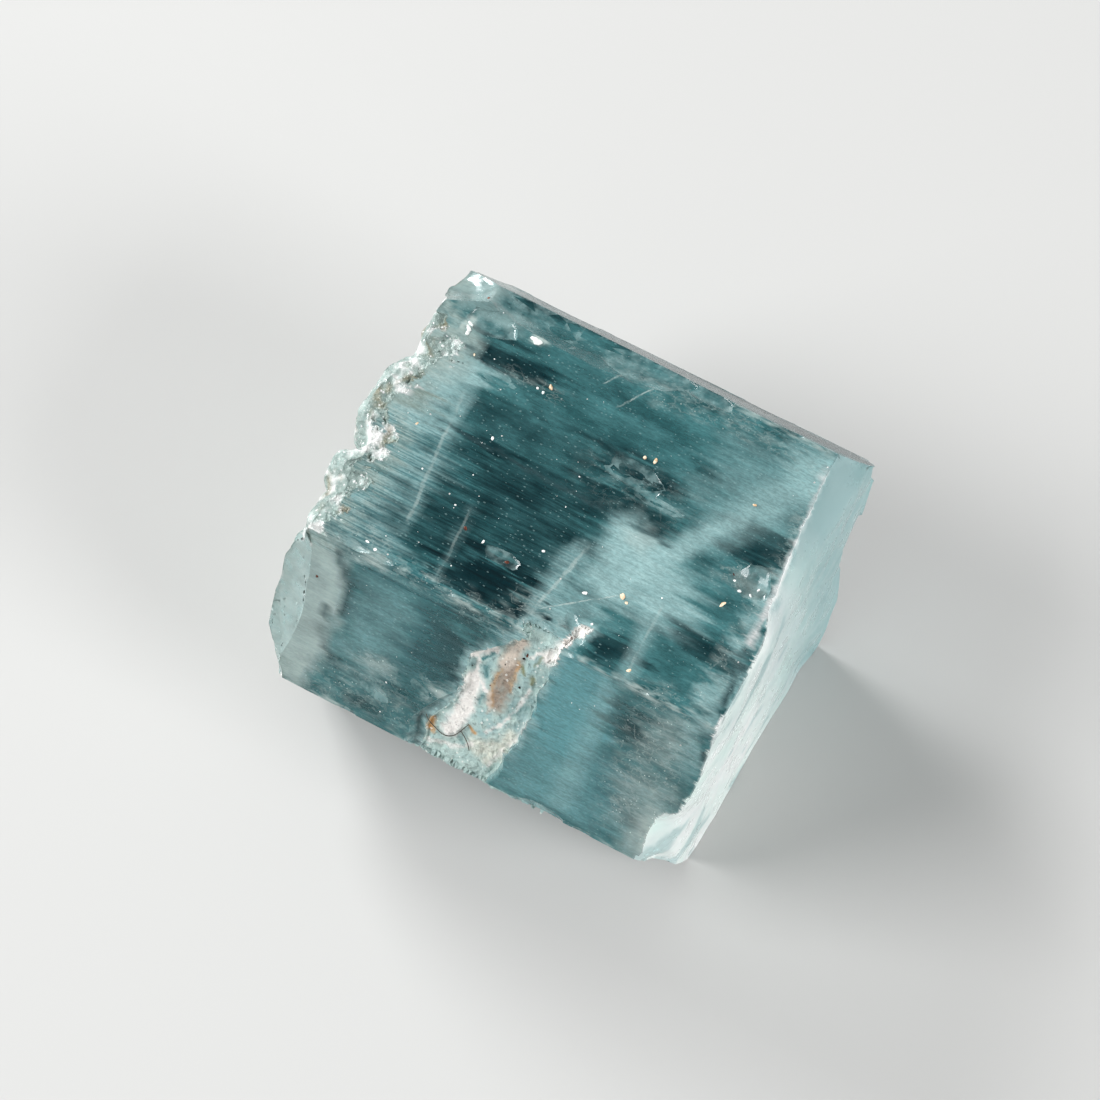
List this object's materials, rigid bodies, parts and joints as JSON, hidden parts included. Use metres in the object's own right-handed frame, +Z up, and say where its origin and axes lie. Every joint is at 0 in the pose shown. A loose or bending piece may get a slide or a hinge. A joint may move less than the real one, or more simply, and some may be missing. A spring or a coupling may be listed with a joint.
{
  "type": "beryl crystal",
  "caption": "Short translucent teal vanadium beryl crystal: a six-sided prism with a ragged broken end, a pale parted end, shell chips and an altered white scar; lies on one prism face.",
  "frame": {"origin": "bottom centre of the bounding box, on the plane of the prism face that the crystal lies on", "axes": "+X along the prism from the broken end to the parted end, +Y from the scarred side to the far side, +Z up"},
  "size_m": [0.0132, 0.0126, 0.0079],
  "materials": {
    "beryl": "vitreous, translucent teal with frosted fracture ends"
  },
  "bodies": {
    "root": {"beryl_crystal": "beryl"}
  },
  "joints": []
}
